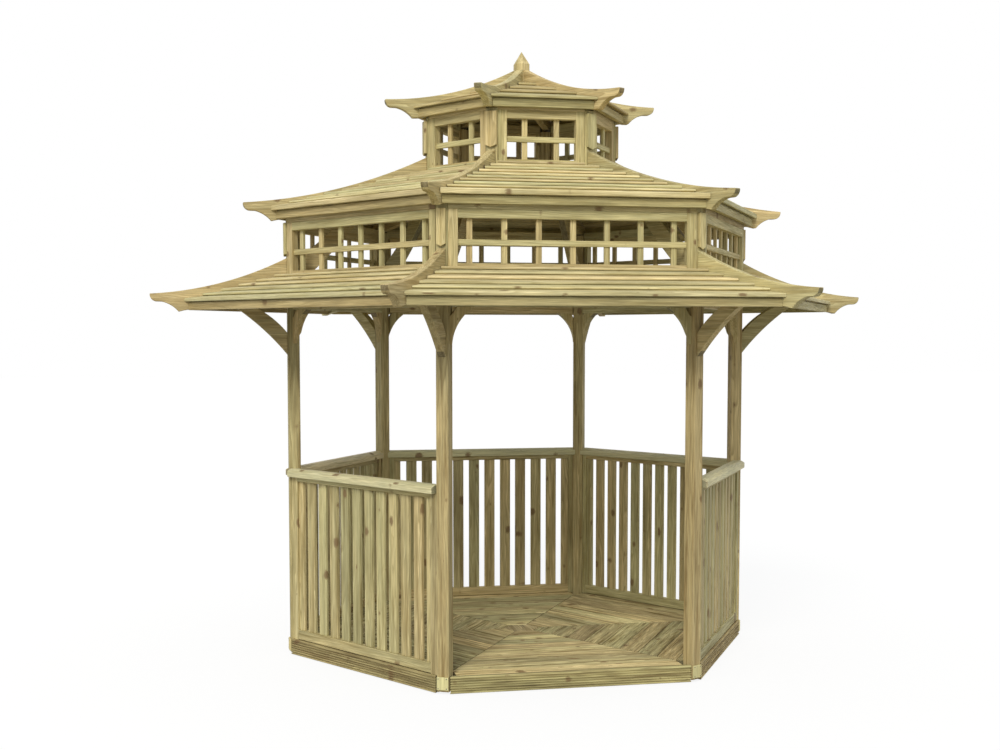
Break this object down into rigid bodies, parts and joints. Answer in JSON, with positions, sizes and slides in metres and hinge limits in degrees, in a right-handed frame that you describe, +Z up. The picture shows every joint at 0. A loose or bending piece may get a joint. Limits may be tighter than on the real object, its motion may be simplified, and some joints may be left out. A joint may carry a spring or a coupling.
{
  "type": "garden gazebo",
  "caption": "Open hexagonal timber garden gazebo with a deck, balustrades, curved hip rafters and a stepped pagoda roof in shrinking tiers.",
  "frame": {"origin": "centre of the base, on the ground", "axes": "+Z up, -Y out through the open entrance, +X towards the right-hand corner post"},
  "size_m": [4.4686, 3.8924, 3.644],
  "materials": {
    "treated_frame": "planed softwood, pressure treated",
    "treated_post": "planed softwood, pressure treated",
    "deck_timber": "ribbed softwood, pressure treated, slightly worn",
    "grooved_board": "reeded softwood, pressure treated",
    "foot_plate": "pale freshly cut softwood",
    "balustrade_timber": "planed softwood, pressure treated",
    "lattice_timber": "planed softwood, pressure treated",
    "roof_board": "rounded roofing batten, pressure treated"
  },
  "bodies": {
    "root": {"beam_braces": "treated_frame", "deck_boards": "deck_timber", "deck_hub": "treated_frame", "deck_joists": "treated_frame", "foot_plates": "foot_plate", "handrails": "balustrade_timber", "hip_braces": "treated_frame", "king_post_finial": "treated_frame", "lower_eaves": "roof_board", "lower_hip_rafters": "treated_frame", "lower_roof": "roof_board", "middle_corner_covers": "treated_post", "middle_corner_posts": "treated_post", "middle_eaves": "roof_board", "middle_hip_rafters": "treated_frame", "middle_lattice_back": "lattice_timber", "middle_lattice_back_left": "lattice_timber", "middle_lattice_back_right": "lattice_timber", "middle_lattice_front": "lattice_timber", "middle_lattice_front_left": "lattice_timber", "middle_lattice_front_right": "lattice_timber", "middle_roof": "roof_board", "middle_wall_plates": "treated_frame", "panel_back": "balustrade_timber", "panel_back_left": "balustrade_timber", "panel_back_right": "balustrade_timber", "panel_front_left": "balustrade_timber", "panel_front_right": "balustrade_timber", "post_back_left": "treated_post", "post_back_right": "treated_post", "post_front_left": "treated_post", "post_front_right": "treated_post", "post_left": "treated_post", "post_right": "treated_post", "rim_joists": "treated_frame", "ring_beams": "treated_frame", "skirt_boards": "grooved_board", "upper_corner_covers": "treated_post", "upper_corner_posts": "treated_post", "upper_eaves": "roof_board", "upper_hip_rafters": "treated_frame", "upper_lattices": "lattice_timber", "upper_roof": "roof_board", "upper_wall_plates": "treated_frame"}
  },
  "joints": []
}
